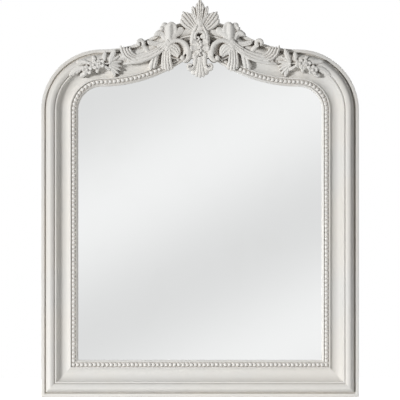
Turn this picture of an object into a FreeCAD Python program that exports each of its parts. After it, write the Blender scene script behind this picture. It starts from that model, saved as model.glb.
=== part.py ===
import FreeCAD, Part
import math
import os

V = FreeCAD.Vector
TO_BACK = V(0, 1, 0)

# Outline of the frame. Lengths are in millimetres and angles in degrees. The origin is the middle
# of the bottom edge on the wall plane, with X to the right, Z up and the front towards -Y.
frame_width = 900.0
spring_height = 813.0
shoulder_radius = 172.0
peak_radius = 208.0
head_slope = 33.0
shoulder_facets = 12
hollow_facets = 7
peak_facets = 10

# Widths of the moulding's members, from the outer edge to the sight edge
outer_roll_width = 9.6
groove_width = 2.9
torus_outer_width = 11.5
torus_flank_width = 7.5
torus_land_width = 6.0
torus_inner_width = 9.7
fillet_width = 3.8
cove_width = 37.5
rim_width = 3.7
bead_channel_width = 13.8
sight_lip_width = 6.0

# Heights of the moulding's members above the wall plane
outer_side_height = 24.5
torus_foot = 22.0
torus_height = 44.0
torus_shoulder = 39.5
torus_inner_foot = 35.0
fillet_height = 38.0
cove_floor = 20.5
cove_edge = 25.5
rim_height = 28.0
bead_channel_floor = 22.0
sight_lip_height = 27.0
sight_lip_fall = 2.5
roll_facets = 3
torus_facets = 2
cove_facets = 3

# Back of the frame
back_land = 60.0
hardware_step = 6.0
rebate_overlap = 9.5

# Glass and backing board
glass_thickness = 4.0
board_thickness = 3.0
glazing_clearance = 1.5
setting_block_length = 40.0
setting_block_spacing = 380.0

# Pearl beading
bead_diameter = 11.2
bead_pitch = 12.0
bead_rise = 5.6
bead_top_diameter = 5.8
bead_sides = 6
bead_base_thickness = 1.6
bead_base_clearance = 0.6

# Splines in the corner and head joints
spline_length = 46.0
spline_width = 40.0
spline_thickness = 3.2
spline_inset = 46.0
spline_height = 12.0
spline_clearance = 0.1

# Turn buttons that hold the backing board
button_heel = 6.0
button_reach = 25.0
button_width = 12.0
button_thickness = 1.5
button_corner = 3.0
button_clearance = 0.2
button_inset = 78.0
low_button_height = 240.0
button_below_hanger = 150.0
rail_button_spacing = 380.0
head_button_turn = 14.0

# Ring hangers
hanger_drop = 43.0
hanger_inset = 78.0
strap_width = 16.0
strap_length = 46.0
strap_thickness = 1.2
eye_sides = 10
ring_wire_diameter = 2.8
ring_wire_sides = 6
ring_width = 24.0
ring_leg = 5.0
ring_corner = 3.0
ring_bow_facets = 5
ring_clearance = 0.06
ring_standoff = 0.3

# Cast ornament. Reliefs are measured from the top of the torus, and the tables are in carving units.
leaf_edge_thickness = 2.0
carving_unit = 1.0

# Leaves of the palmette, from the top of the head, in the form: root, bend, tip, half width,
# relief at the root and at the tip. Rows with x above 0 have a twin on the left.
palmette_leaves = [
    ((0, -30), (0, 16), (0, 57.5), 7.5, 10, 7),
    ((2, -29), (11, 18), (12, 49), 6.5, 9, 6),
    ((4, -28), (20, 10), (23.5, 38), 6.5, 8, 5),
    ((9, -29), (26, -4), (35, 20), 6.5, 8, 4),
    ((11, -30), (35, -7), (47.6, 22.7), 6.5, 8, 4),
    ((13, -31), (39, -15.6), (54.7, 10), 6.5, 7, 3),
    ((14, -33), (35, -24), (53, -3), 5.5, 6, 3)]

# Leaves and curls of the cartouche and its drop, from the top of the head
cartouche_leaves = [
    ((0, -26), (0, -70), (0, -112), 19, 8, 6),
    ((0, -98), (0, -129), (0, -161.5), 10, 8, 3),
    ((6, -100), (18, -132), (19, -152), 8, 6, 3),
    ((15, -92), (24, -108), (21, -126), 6, 8, 3)]
pocket_curl = (13.5, -43)
pocket_curl_radius = 8.0
pocket_curl_half_width = 4.5
pocket_curl_relief = 12.0
drop_curl = (29, -130)
drop_curl_radius = 7.5
drop_curl_half_width = 4.0
drop_curl_relief = 4.0
curl_sweep = 270.0
rosette_centre = (0, -76)
rosette_radius = 19.0
rosette_relief = 16.0

# Leaves and scrolls of the right wing, from the top of the head. Beyond its root the wing is drawn
# out or in along the head, so that its end stays at the spray.
wing_root = 80.0
wing_end = 230.0
spray_overhang = 48.0
wing_leaves = [
    ((72, -44), (49, -27), (28, -35), 9, 8, 6),
    ((83, -61), (72, -27), (86, -7), 13, 10, 6),
    ((88, -58), (111, -42), (107, -14), 7, 8, 4),
    ((98, -74), (126, -60), (124, -31), 8, 9, 5),
    ((114, -82), (134, -74), (148, -61), 7, 8, 4),
    ((77, -58), (137, -112), (230, -113), 8, 10, 5),
    ((131, -92), (151, -92), (155, -72), 6, 7, 6),
    ((145, -103), (194, -112), (194, -79), 6.5, 7, 6),
    ((154, -106), (205, -115), (206, -79), 6, 6, 6),
    ((165, -109), (219, -115), (216, -75), 6, 5, 5),
    ((177, -112), (230, -118), (227, -69), 6, 4, 5),
    ((80, -64), (99, -98), (93, -137), 8, 10, 3),
    ((97, -72), (118, -95), (123, -129), 7, 9, 3),
    ((109, -78), (135, -106), (143, -137), 7, 8, 3),
    ((75, -90), (76, -112), (78, -132), 12, 5, 3)]
scroll_centre = (62, -86)
scroll_radius = 27.5
scroll_half_width = 6.0
scroll_relief = 12.0
scroll_start = 40.0
scroll_sweep = 225.0
scroll_eye = (50.5, -105)
scroll_eye_radius = 7.0
volute_centre = (167, -67)
volute_radius = 12.0
volute_half_width = 5.0
volute_relief = 8.0
volute_start = -60.0
volute_sweep = 300.0
volute_eye_radius = 5.0
dish_relief = 6.0
dish_depth = 5.0

# Leaves and flowers of the right spray, from the top of the shoulder
spray_leaves = [
    ((-20, -41), (14, -36), (60, -60), 7, 5, 4),
    ((-12, -39), (-32, -22), (-39, 0), 9, 6, 4),
    ((-9, -33), (-6, -19), (-13, -8), 7, 6, 4),
    ((-12, -42), (-35, -39), (-56, -36), 7, 5, 3),
    ((-12, -44), (-38, -44), (-53, -60), 7, 5, 3),
    ((-12, -42), (-32, -50), (-38, -76), 7, 5, 3),
    ((-4, -44), (-15, -53), (-25, -59), 5, 4, 3),
    ((33, -42), (50, -33), (71, -35), 6, 6, 3),
    ((47, -53), (70, -53), (91, -74), 7, 6, 3),
    ((38, -59), (50, -70), (61, -76), 6, 4, 3),
    ((16, -39), (19, -27), (27, -19), 5, 6, 4),
    ((10, -48), (13, -59), (13, -67), 5, 4, 3)]
spray_flowers = [(5, -41), (23, -44), (41, -59)]
flower_radius = 12.0
flower_relief = 8.0

# Shape that the leaves, scrolls and flowers share
leaf_places = ((0, 0.7), (0.5, 1.0), (1, 0.35))
scroll_step = 30.0
knob_sides = 6
petal_count = 5
petal_notch = 0.72
petal_fall = 3.0

# Distances from the outer edge, summed from the widths above
groove_start = outer_roll_width
torus_start = groove_start + groove_width
land_start = torus_start + torus_outer_width
land_end = land_start + torus_land_width
fillet_start = land_end + torus_inner_width
cove_start = fillet_start + fillet_width
rim_start = cove_start + cove_width
channel_start = rim_start + rim_width
lip_start = channel_start + bead_channel_width
moulding_width = lip_start + sight_lip_width
rebate_start = moulding_width - rebate_overlap
bead_line = channel_start + bead_channel_width / 2

# Heights over the wall plane, summed from the thicknesses above
board_front = hardware_step + board_thickness
glass_front = board_front + glass_thickness
bead_foot = bead_channel_floor + bead_base_thickness
leaf_edge = torus_height + leaf_edge_thickness

# Points and radii of the outline
half_width = frame_width / 2
shoulder_top = spring_height + shoulder_radius
shoulder_x = half_width - shoulder_radius
slope = math.radians(head_slope)
hollow_radius = shoulder_x / math.sin(slope) - peak_radius
hollow_z = shoulder_top + hollow_radius
head_peak = shoulder_top + (hollow_radius + peak_radius) * (1 - math.cos(slope))
peak_z = head_peak - peak_radius

# Share by which the wing is drawn out along the head
wing_stretch = (shoulder_x - spray_overhang - wing_root) / (wing_end - wing_root)
wing_broadening = max(1.0, wing_stretch)

# Centre of the ring hanger's eye
eye_inner_radius = ring_wire_diameter / 2 + ring_clearance
eye_outer_radius = eye_inner_radius + strap_thickness
hanger_x = half_width - hanger_inset
hanger_height = spring_height - hanger_drop
eye_y = eye_outer_radius + ring_standoff - hardware_step


def solid_of(shape):
    """One closed solid, with split faces merged."""
    merged = shape.removeSplitter()
    if len(merged.Solids) == 1:
        return merged.Solids[0]
    return merged


def save(shape, name):
    shape.exportStep("parts/" + name + ".step")


def mirrored(shape):
    return shape.mirror(V(0, 0, 0), V(1, 0, 0))


def flat_face(points):
    return Part.Face(Part.makePolygon(list(points) + [points[0]]))


def polyhedron(outlines):
    """Solid bounded by flat faces."""
    shell = Part.makeShell([flat_face(outline) for outline in outlines])
    shell.sewShape()
    solid = Part.makeSolid(shell)
    if solid.Volume < 0:
        solid.reverse()
    return solid


# Stations: a point of the outer edge with the direction that an inset takes there

class Station:
    def __init__(self, x, z, inward_x, inward_z):
        self.x = x
        self.z = z
        self.inward_x = inward_x
        self.inward_z = inward_z

    def at(self, inset, height):
        return V(self.x + self.inward_x * inset, -height, self.z + self.inward_z * inset)

    def inward(self):
        return V(self.inward_x, 0, self.inward_z)

    def along(self):
        return V(self.inward_z, 0, -self.inward_x)

    def twin(self):
        """The same place on the left side."""
        return Station(-self.x, self.z, -self.inward_x, self.inward_z)


def corner_station():
    """Station on the mitre of the bottom right corner."""
    return Station(half_width, 0, -1, 1)


def stile_station(z):
    return Station(half_width, z, -1, 0)


def rail_station(x):
    return Station(x, 0, 0, 1)


def shoulder_station(turn):
    """Station on the right shoulder, turned from the spring line up to the level tangent."""
    angle = math.radians(turn)
    c = math.cos(angle)
    s = math.sin(angle)
    return Station(shoulder_x + shoulder_radius * c, spring_height + shoulder_radius * s, -c, -s)


def hollow_station(turn):
    """Station on the hollow curve of the right side, turned from the shoulder towards the middle."""
    angle = math.radians(turn)
    s = math.sin(angle)
    c = math.cos(angle)
    return Station(shoulder_x - hollow_radius * s, hollow_z - hollow_radius * c, -s, -c)


def peak_station(turn):
    """Station on the round of the head, turned from the middle to the right."""
    angle = math.radians(turn)
    s = math.sin(angle)
    c = math.cos(angle)
    return Station(peak_radius * s, peak_z + peak_radius * c, -s, -c)


# Sections, as corners (inset, height), and members swept through stations

def arc_corners(first, middle, last, facets):
    """Corners of equal chords on the arc through three corners."""
    arc = Part.Arc(V(*first), V(*middle), V(*last)).toShape()
    return [(point.x, point.y) for point in arc.discretize(facets + 1)]


def crown_arc_middle(foot_inset, foot_height, top_inset, top_height):
    """Middle of the arc from a foot to a summit where the arc is level."""
    run = foot_inset - top_inset
    rise = top_height - foot_height
    radius = (run * run + rise * rise) / (2 * rise)
    half_turn = math.atan2(abs(run), radius - rise) / 2
    inset = top_inset + math.copysign(radius * math.sin(half_turn), run)
    return inset, top_height - radius * (1 - math.cos(half_turn))


def moulding_section():
    roll_radius = outer_roll_width / 2
    roll_top = (roll_radius, outer_side_height + roll_radius)
    inner_middle = crown_arc_middle(fillet_start, torus_inner_foot, land_end, torus_height)
    cove_middle = (cove_start + cove_width / 2, cove_floor)
    corners = [(0, 0)]
    corners += arc_corners((0, outer_side_height), roll_top, (outer_roll_width, outer_side_height), roll_facets)
    corners += [(torus_start, torus_foot), (torus_start + torus_flank_width, torus_shoulder)]
    corners.append((land_start, torus_height))
    corners += arc_corners((land_end, torus_height), inner_middle, (fillet_start, torus_inner_foot), torus_facets)
    corners.append((fillet_start, fillet_height))
    corners += arc_corners((cove_start, fillet_height), cove_middle, (rim_start, cove_edge), cove_facets)
    corners += [
        (rim_start, rim_height), (channel_start, rim_height),
        (channel_start, bead_channel_floor), (lip_start, bead_channel_floor),
        (lip_start, sight_lip_height), (moulding_width, sight_lip_height - sight_lip_fall),
        (moulding_width, glass_front), (rebate_start, glass_front),
        (rebate_start, hardware_step), (back_land, hardware_step), (back_land, 0)]
    return corners


def bead_base_section():
    start = channel_start + bead_base_clearance
    end = lip_start - bead_base_clearance
    return [(start, bead_channel_floor), (start, bead_foot), (end, bead_foot), (end, bead_channel_floor)]


def swept(section, stations):
    """Solid with flat faces between a section's corners at each station and the next."""
    rings = [[s.at(inset, height) for inset, height in section] for s in stations]
    outlines = [rings[0], rings[-1]]
    for one, two in zip(rings, rings[1:]):
        for i in range(len(section)):
            j = (i + 1) % len(section)
            outlines.append([one[i], one[j], two[j], two[i]])
    return solid_of(polyhedron(outlines))


def shoulder_stations():
    return [shoulder_station(90 * i / shoulder_facets) for i in range(shoulder_facets + 1)]


def head_stations():
    """Stations over the head, from the right shoulder to the left."""
    hollow = [hollow_station(head_slope * i / hollow_facets) for i in range(hollow_facets)]
    turns = [head_slope * (1 - 2 * i / peak_facets) for i in range(peak_facets + 1)]
    return hollow + [peak_station(turn) for turn in turns] + [s.twin() for s in reversed(hollow)]


def pane(inset, back_height, thickness):
    """Sheet cut to the outline, moved inwards."""
    right = [corner_station()] + shoulder_stations()
    stations = right + head_stations()[1:-1] + [s.twin() for s in reversed(right)]
    face = flat_face([s.at(inset, back_height) for s in stations])
    return face.extrude(V(0, -thickness, 0))


def setting_block(x):
    """Block under the glass, as thick as the glazing clearance."""
    corner = V(x - setting_block_length / 2, -glass_front, rebate_start)
    return Part.makeBox(setting_block_length, glass_thickness, glazing_clearance, corner)


def spline(point, turn, grow=0.0):
    """Flat tongue across a joint at a point, turned about the line to the back."""
    length = spline_length + 2 * grow
    width = spline_width + 2 * grow
    thickness = spline_thickness + 2 * grow
    block = Part.makeBox(length, thickness, width, V(-length / 2, -thickness / 2, -width / 2))
    block.rotate(V(0, 0, 0), TO_BACK, turn)
    block.translate(point)
    return block


# Faceted forms with a round plan: rings are (radius, height) from the back to the front

def faceted(hub, first, second, rings, shares):
    """Solid with flat facets about a line to the front, with a corner for each share of the radius."""
    sides = len(shares)
    levels = []
    for radius, height in rings:
        centre = V(hub.x, -height, hub.z)
        corners = []
        for i, share in enumerate(shares):
            angle = 2 * math.pi * i / sides
            corners.append(centre + (first * math.cos(angle) + second * math.sin(angle)) * radius * share)
        levels.append(corners)
    outlines = [levels[0]]
    if rings[-1][0] > 0:
        outlines.append(levels[-1])
    for low, high in zip(levels, levels[1:]):
        for i in range(sides):
            j = (i + 1) % sides
            corners = [low[i], low[j], high[j]]
            if high[i] != high[j]:
                corners.append(high[i])
            outlines.append(corners)
    return polyhedron(outlines)


# Pearl beading

def bead_at(station):
    rings = [(bead_diameter / 2, bead_channel_floor), (bead_diameter / 2, bead_foot),
             (bead_top_diameter / 2, bead_foot + bead_rise)]
    return faceted(station.at(bead_line, 0), station.along(), station.inward(), rings, [1] * bead_sides)


def spaced(length, pitch):
    """Number of equal steps nearest to the pitch, and the step."""
    count = max(2, round(length / pitch))
    return count, length / count


def bead_strip(ends, stations):
    """Strip through its ends and its beads."""
    first, last = ends
    base = swept(bead_base_section(), [first] + stations + [last])
    return solid_of(base.multiFuse([bead_at(s) for s in stations]))


def rail_bead_strip():
    reach = half_width - bead_line
    count, step = spaced(2 * reach, bead_pitch)
    stations = [rail_station(i * step - reach) for i in range(count + 1)]
    end = half_width - channel_start - bead_base_clearance
    return bead_strip([rail_station(-end), rail_station(end)], stations)


def stile_bead_strip():
    count, step = spaced(spring_height - bead_line - bead_pitch / 2, bead_pitch)
    stations = [stile_station(bead_line + step * (i + 1)) for i in range(count)]
    return bead_strip([stile_station(lip_start), stile_station(spring_height)], stations)


def head_bead_strip():
    """Right half of the beading over the head, from the spring line to the middle."""
    radii = (shoulder_radius - bead_line, hollow_radius + bead_line, peak_radius - bead_line)
    lengths = (radii[0] * math.pi / 2, radii[1] * slope, radii[2] * slope)
    count, step = spaced(sum(lengths), bead_pitch)
    stations = []
    for i in range(count):
        run = (i + 0.5) * step
        if run < lengths[0]:
            stations.append(shoulder_station(math.degrees(run / radii[0])))
        elif run < lengths[0] + lengths[1]:
            stations.append(hollow_station(math.degrees((run - lengths[0]) / radii[1])))
        else:
            stations.append(peak_station(math.degrees((sum(lengths) - run) / radii[2])))
    return bead_strip([shoulder_station(0), peak_station(0)], stations)


# Turn buttons

def button_stations():
    right = [stile_station(low_button_height), stile_station(hanger_height - button_below_hanger)]
    right.append(rail_station(rail_button_spacing / 2))
    right.append(hollow_station(head_button_turn))
    return right


def turn_button(station):
    """Plate with clipped corners that turns over the edge of the board."""
    height = hardware_step - button_clearance
    half = button_width / 2
    start = button_inset - button_heel
    end = button_inset + button_reach
    outline = []
    for inset, offset in (
            (start, half - button_corner), (start + button_corner, half),
            (end - button_corner, half), (end, half - button_corner)):
        outline.append(station.at(inset, height) + station.along() * offset)
    for inset, offset in (
            (end, half - button_corner), (end - button_corner, half),
            (start + button_corner, half), (start, half - button_corner)):
        outline.append(station.at(inset, height) - station.along() * offset)
    return flat_face(outline).extrude(TO_BACK * button_thickness)


# Ring hangers: a strap with a rolled eye at its top and a ring that swings in the eye

def eye_face(inner_radius):
    """Section across the eye, with flats at the radius from its centre."""
    reach = inner_radius / math.cos(math.pi / eye_sides)
    corners = []
    for i in range(eye_sides):
        angle = 2 * math.pi * (i + 0.5) / eye_sides
        y = eye_y + reach * math.cos(angle)
        corners.append(V(hanger_x - strap_width / 2, y, hanger_height + reach * math.sin(angle)))
    return flat_face(corners)


def hanger_plate():
    corner = V(hanger_x - strap_width / 2, -hardware_step, hanger_height - strap_length)
    strap = Part.makeBox(strap_width, strap_thickness, strap_length, corner)
    across = V(strap_width, 0, 0)
    roll = eye_face(eye_outer_radius).extrude(across)
    bore = eye_face(eye_inner_radius).extrude(across)
    return solid_of(strap.fuse(roll).cut(bore))


def ring_path():
    """Corners of the ring's middle line, from the bar clockwise round the bow."""
    half = ring_width / 2
    bow_z = -ring_corner - ring_leg
    right = [(half - ring_corner, 0), (half, -ring_corner), (half, bow_z)]
    bow = []
    for i in range(1, ring_bow_facets):
        angle = math.pi * i / ring_bow_facets
        bow.append((half * math.cos(angle), bow_z - half * math.sin(angle)))
    left = [(-x, z) for x, z in reversed(right)]
    return [V(hanger_x + x, eye_y, hanger_height + z) for x, z in right + bow + left]


def hanger_ring():
    """Closed ring of wire, straight where it runs in the eye and mitred at each bend."""
    path = ring_path()
    rings = []
    for i, here in enumerate(path):
        before = (here - path[i - 1]).normalize()
        after = (path[(i + 1) % len(path)] - here).normalize()
        mitre = (before + after).normalize()
        outward = TO_BACK.cross(mitre) / mitre.dot(after)
        ring = []
        for k in range(ring_wire_sides):
            angle = 2 * math.pi * k / ring_wire_sides
            ring.append(here + (outward * math.cos(angle) + TO_BACK * math.sin(angle)) * (ring_wire_diameter / 2))
        rings.append(ring)
    outlines = []
    for one, two in zip(rings, rings[1:] + rings[:1]):
        for k in range(ring_wire_sides):
            n = (k + 1) % ring_wire_sides
            outlines.append([one[k], one[n], two[n], two[k]])
    return polyhedron(outlines)


# Carved forms. A place is (x, z) from the casting's own datum and a relief is a height over the torus.

def band(datum, stations):
    """Solid with a ridge along its middle, on stations (x, z, along x, along z, half width, relief)."""
    low = V(0, -torus_height, 0)
    edge = V(0, -leaf_edge, 0)
    rings = []
    for x, z, tx, tz, half, relief in stations:
        middle = V(datum.x + x, 0, datum.z + z)
        side = V(tz * half, 0, -tx * half)
        ridge = middle + V(0, -torus_height - relief, 0)
        rings.append([middle + side + low, middle + side + edge, ridge, middle - side + edge, middle - side + low])
    outlines = [rings[0], rings[-1]]
    for one, two in zip(rings, rings[1:]):
        outlines.append([one[0], one[1], two[1], two[0]])
        outlines.append([one[3], one[4], two[4], two[3]])
        outlines.append([one[4], one[0], two[0], two[4]])
        for i in (1, 2):
            outlines.append([one[i], one[i + 1], two[i + 1]])
            outlines.append([one[i], two[i + 1], two[i]])
    return polyhedron(outlines)


def leaf(datum, root, bend, tip, half_breadth, root_relief, tip_relief):
    """Leaf along the curve that leaves the root towards the bend and ends at the tip."""
    stations = []
    for t, share in leaf_places:
        x = (1 - t) ** 2 * root[0] + 2 * t * (1 - t) * bend[0] + t * t * tip[0]
        z = (1 - t) ** 2 * root[1] + 2 * t * (1 - t) * bend[1] + t * t * tip[1]
        dx = (1 - t) * (bend[0] - root[0]) + t * (tip[0] - bend[0])
        dz = (1 - t) * (bend[1] - root[1]) + t * (tip[1] - bend[1])
        size = math.hypot(dx, dz)
        half = carving_unit * half_breadth * share
        relief = carving_unit * (root_relief + (tip_relief - root_relief) * t)
        stations.append((carving_unit * x, carving_unit * z, dx / size, dz / size, half, relief))
    return band(datum, stations)


def scroll(datum, centre, radius, half_breadth, relief, start, sweep):
    """Band bent to an arc. Angles run anticlockwise from +X as seen from the front."""
    steps = math.ceil(abs(sweep) / scroll_step)
    stations = []
    for i in range(steps + 1):
        angle = math.radians(start + sweep * i / steps)
        c = math.cos(angle)
        s = math.sin(angle)
        x = carving_unit * centre[0] + radius * c
        z = carving_unit * centre[1] + radius * s
        stations.append((x, z, -s, c, half_breadth, relief))
    return band(datum, stations)


def knob(datum, centre, radius, edge, crown, shares=(1,) * knob_sides):
    """Boss with its edge and its middle at two reliefs."""
    hub = V(datum.x + carving_unit * centre[0], 0, datum.z + carving_unit * centre[1])
    rings = [(radius, torus_height), (radius, torus_height + edge), (0, torus_height + crown)]
    return faceted(hub, V(0, 0, 1), V(1, 0, 0), rings, shares)


def flower(datum, centre, radius, relief):
    """Petals parted by notches, rising to the middle."""
    return knob(datum, centre, radius, relief - petal_fall, relief, (1, petal_notch) * petal_count)


def with_twins(rows):
    """Rows of leaves, each off the middle line with its mirror image."""
    twins = [tuple((-x, z) for x, z in row[:3]) + row[3:] for row in rows if row[2][0] > 0]
    return rows + twins


def drawn_out(place):
    """Place on the wing after it is drawn out along the head."""
    x, z = place
    root = wing_root / carving_unit
    if x > root:
        x = root + (x - root) * wing_stretch
    return x, z


def cast(forms, neighbours):
    """Forms joined to one flat-backed casting, cut where its neighbours lie."""
    whole = forms[0].multiFuse(forms[1:])
    if neighbours:
        whole = whole.cut(neighbours)
    return solid_of(whole)


os.makedirs("parts", exist_ok=True)

# Members, slotted for the splines in their joints
mitre_point = V(half_width - spline_inset, -spline_height, spline_inset)
head_point = shoulder_station(90).at(spline_inset, spline_height)
slots = [spline(mitre_point, 45, spline_clearance), spline(head_point, 0, spline_clearance)]
slots += [mirrored(slot) for slot in slots]
moulding = moulding_section()
right_stile = swept(moulding, [corner_station()] + shoulder_stations()).cut(slots)
save(right_stile, "right_stile")
save(mirrored(right_stile), "left_stile")
save(swept(moulding, [corner_station().twin(), corner_station()]).cut(slots), "bottom_rail")
save(swept(moulding, head_stations()).cut(slots), "head_rail")
mitre_spline = spline(mitre_point, 45)
head_spline = spline(head_point, 0)
save(Part.makeCompound([mitre_spline, mirrored(mitre_spline)]), "mitre_splines")
save(Part.makeCompound([head_spline, mirrored(head_spline)]), "head_splines")

# Beading
stile_beads = stile_bead_strip()
head_beads = head_bead_strip()
save(stile_beads, "bead_strip_right")
save(mirrored(stile_beads), "bead_strip_left")
save(rail_bead_strip(), "bead_strip_bottom")
save(head_beads, "bead_strip_head_right")
save(mirrored(head_beads), "bead_strip_head_left")

# Mirror glass with its board and blocks
pane_inset = rebate_start + glazing_clearance
save(pane(pane_inset, board_front, glass_thickness), "mirror_glass")
save(pane(pane_inset, hardware_step, board_thickness), "backing_board")
blocks = [setting_block(side * setting_block_spacing / 2) for side in (-1, 1)]
save(Part.makeCompound(blocks), "setting_blocks")

# Turn buttons
for number, station in enumerate(button_stations(), 1):
    button = turn_button(station)
    save(button, "turn_button_right_%d" % number)
    save(mirrored(button), "turn_button_left_%d" % number)

# Ring hangers
plate = hanger_plate()
ring = hanger_ring()
save(plate, "hanger_plate_right")
save(mirrored(plate), "hanger_plate_left")
save(ring, "hanger_ring_right")
save(mirrored(ring), "hanger_ring_left")

# Castings, which lie on the land of the torus, each cut where it meets the one before
crest_datum = V(0, 0, head_peak)
spray_datum = V(shoulder_x, 0, shoulder_top)

palmette_forms = [leaf(crest_datum, *row) for row in with_twins(palmette_leaves)]
palmette = cast(palmette_forms, [])

cartouche_forms = [leaf(crest_datum, *row) for row in with_twins(cartouche_leaves)]
cartouche_forms.append(flower(crest_datum, rosette_centre, rosette_radius, rosette_relief))
for (x, z), radius, half, relief in (
        (pocket_curl, pocket_curl_radius, pocket_curl_half_width, pocket_curl_relief),
        (drop_curl, drop_curl_radius, drop_curl_half_width, drop_curl_relief)):
    cartouche_forms.append(scroll(crest_datum, (x, z), radius, half, relief, 180, -curl_sweep))
    cartouche_forms.append(scroll(crest_datum, (-x, z), radius, half, relief, 0, curl_sweep))
cartouche = cast(cartouche_forms, [palmette])

wing_forms = []
for root, bend, tip, half, root_relief, tip_relief in wing_leaves:
    curve = [drawn_out(place) for place in (root, bend, tip)]
    wing_forms.append(leaf(crest_datum, *curve, half * wing_broadening, root_relief, tip_relief))
wing_forms.append(scroll(crest_datum, scroll_centre, scroll_radius, scroll_half_width, scroll_relief,
                         scroll_start, scroll_sweep))
wing_forms.append(knob(crest_datum, scroll_centre, scroll_radius, dish_relief, dish_relief - dish_depth))
wing_forms.append(knob(crest_datum, scroll_eye, scroll_eye_radius, dish_relief, scroll_relief))
volute = drawn_out(volute_centre)
volute_reach = volute_radius * wing_broadening
wing_forms.append(scroll(crest_datum, volute, volute_reach, volute_half_width, volute_relief,
                         volute_start, volute_sweep))
wing_forms.append(knob(crest_datum, volute, volute_reach, dish_relief, dish_relief - dish_depth))
wing_forms.append(knob(crest_datum, volute, volute_eye_radius, dish_relief, volute_relief))
wing = cast(wing_forms, [palmette, cartouche])

spray_forms = [leaf(spray_datum, *row) for row in spray_leaves]
spray_forms += [flower(spray_datum, centre, flower_radius, flower_relief) for centre in spray_flowers]
spray = cast(spray_forms, [wing])

save(palmette, "crest_palmette")
save(cartouche, "crest_cartouche")
save(wing, "right_wing")
save(mirrored(wing), "left_wing")
save(spray, "right_spray")
save(mirrored(spray), "left_spray")
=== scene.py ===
import bpy
import math
from mathutils import Matrix, Vector


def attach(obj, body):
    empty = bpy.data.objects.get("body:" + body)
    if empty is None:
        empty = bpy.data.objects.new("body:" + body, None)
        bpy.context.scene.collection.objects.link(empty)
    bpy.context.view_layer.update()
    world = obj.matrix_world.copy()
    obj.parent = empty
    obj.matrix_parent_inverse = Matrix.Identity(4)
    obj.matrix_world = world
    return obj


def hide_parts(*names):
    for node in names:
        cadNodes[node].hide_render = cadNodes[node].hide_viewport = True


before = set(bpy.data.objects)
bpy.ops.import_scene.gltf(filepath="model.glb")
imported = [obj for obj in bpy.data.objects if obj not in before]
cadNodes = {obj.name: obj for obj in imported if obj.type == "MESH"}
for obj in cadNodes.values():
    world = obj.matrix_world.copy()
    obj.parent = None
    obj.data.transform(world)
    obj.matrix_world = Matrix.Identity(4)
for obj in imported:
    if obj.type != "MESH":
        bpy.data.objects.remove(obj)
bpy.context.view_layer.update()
mm = 0.001
print("frame loaded,", len(cadNodes), "nodes")


# shader maths: a Link wraps a socket, a Finish holds a node tree
class Link:
    def __init__(self, finish, socket):
        self.finish = finish
        self.socket = socket

    def __add__(self, other):
        return self.finish.maths("ADD", self, other)

    def __radd__(self, other):
        return self.finish.maths("ADD", other, self)

    def __sub__(self, other):
        return self.finish.maths("SUBTRACT", self, other)

    def __rsub__(self, other):
        return self.finish.maths("SUBTRACT", other, self)

    def __mul__(self, other):
        return self.finish.maths("MULTIPLY", self, other)

    def __rmul__(self, other):
        return self.finish.maths("MULTIPLY", other, self)

    def ease(self, low, high):  # 0 below low, 1 above high, smooth between
        return self.finish.node("MapRange", {"interpolation_type": "SMOOTHSTEP"},
                                {"Value": self, "From Min": low, "From Max": high})


class Finish:
    def __init__(self, owner):
        owner.use_nodes = True
        self.owner = owner
        self.tree = owner.node_tree
        self.tree.nodes.clear()

    def node(self, kind, settings=None, sockets=None, out=0):
        made = self.tree.nodes.new("ShaderNode" + kind)
        for key, value in (settings or {}).items():
            setattr(made, key, value)
        for key, value in (sockets or {}).items():
            if isinstance(value, Link):
                self.tree.links.new(value.socket, made.inputs[key])
            else:
                made.inputs[key].default_value = value
        return Link(self, made.outputs[out])

    def maths(self, operation, first, second):
        return self.node("Math", {"operation": operation}, {0: first, 1: second})

    def mix(self, share, first, second):  # colours
        return self.node("Mix", {"data_type": "RGBA"}, {0: share, 6: first, 7: second}, 2)

    def spot(self):
        return self.node("TexCoord", None, None, "Object")

    def noise(self, scale, detail=2.0, roughness=0.5, stretch=None):
        where = self.spot()
        if stretch:
            where = self.node("Mapping", None, {"Vector": where, "Scale": stretch})
        return self.node("TexNoise", None, {"Vector": where, "Scale": scale, "Detail": detail,
                                            "Roughness": roughness})

    def bump(self, height, distance, strength=1.0):
        return self.node("Bump", None, {"Height": height, "Distance": distance, "Strength": strength})

    def surface(self, sockets):
        return self.close(self.node("BsdfPrincipled", None, sockets))

    def close(self, shader):
        kind = "OutputWorld" if isinstance(self.owner, bpy.types.World) else "OutputMaterial"
        end = self.tree.nodes.new("ShaderNode" + kind)
        self.tree.links.new(shader.socket, end.inputs["Surface"])
        return self.owner


def rgb(red, green, blue):  # screen values 0-255 to the linear colour of a socket
    return tuple((v / 255 / 12.92 if v < 10.3 else ((v / 255 + 0.055) / 1.055) ** 2.4)
                 for v in (red, green, blue)) + (1.0,)


# screen colours of the paint, and how each painted part is glazed; the glaze colours, and the darker one for the
# carving, are laid in by ambient occlusion, so they also paint shade into the hollows
paintLook = {"paint": (234, 232, 227), "cool": (230, 230, 228), "warm": (237, 232, 224),
             "glazeAndShade": (150, 136, 120), "darkGlazeAndShade": (116, 98, 80), "rubbedAndHighlight": (248, 246, 242), "timber": (176, 141, 101),
             "timberDark": (126, 93, 61), "resin": (222, 214, 200)}
# lift lightens a coat toward the rubbed colour: a painted highlight, strongest on the beads
coats = {"framePaint": {"glazeAndShade": "glazeAndShade", "crevice": 0.22, "reach": 0.010, "paintedHighlight": 0.0, "timberBack": True},
         "beadPaint": {"glazeAndShade": "glazeAndShade", "crevice": 0.5, "reach": 0.004, "paintedHighlight": 0.8, "timberBack": False},
         "carvingPaint": {"glazeAndShade": "darkGlazeAndShade", "crevice": 0.9, "reach": 0.011, "paintedHighlight": 0.3, "timberBack": False}}


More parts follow.
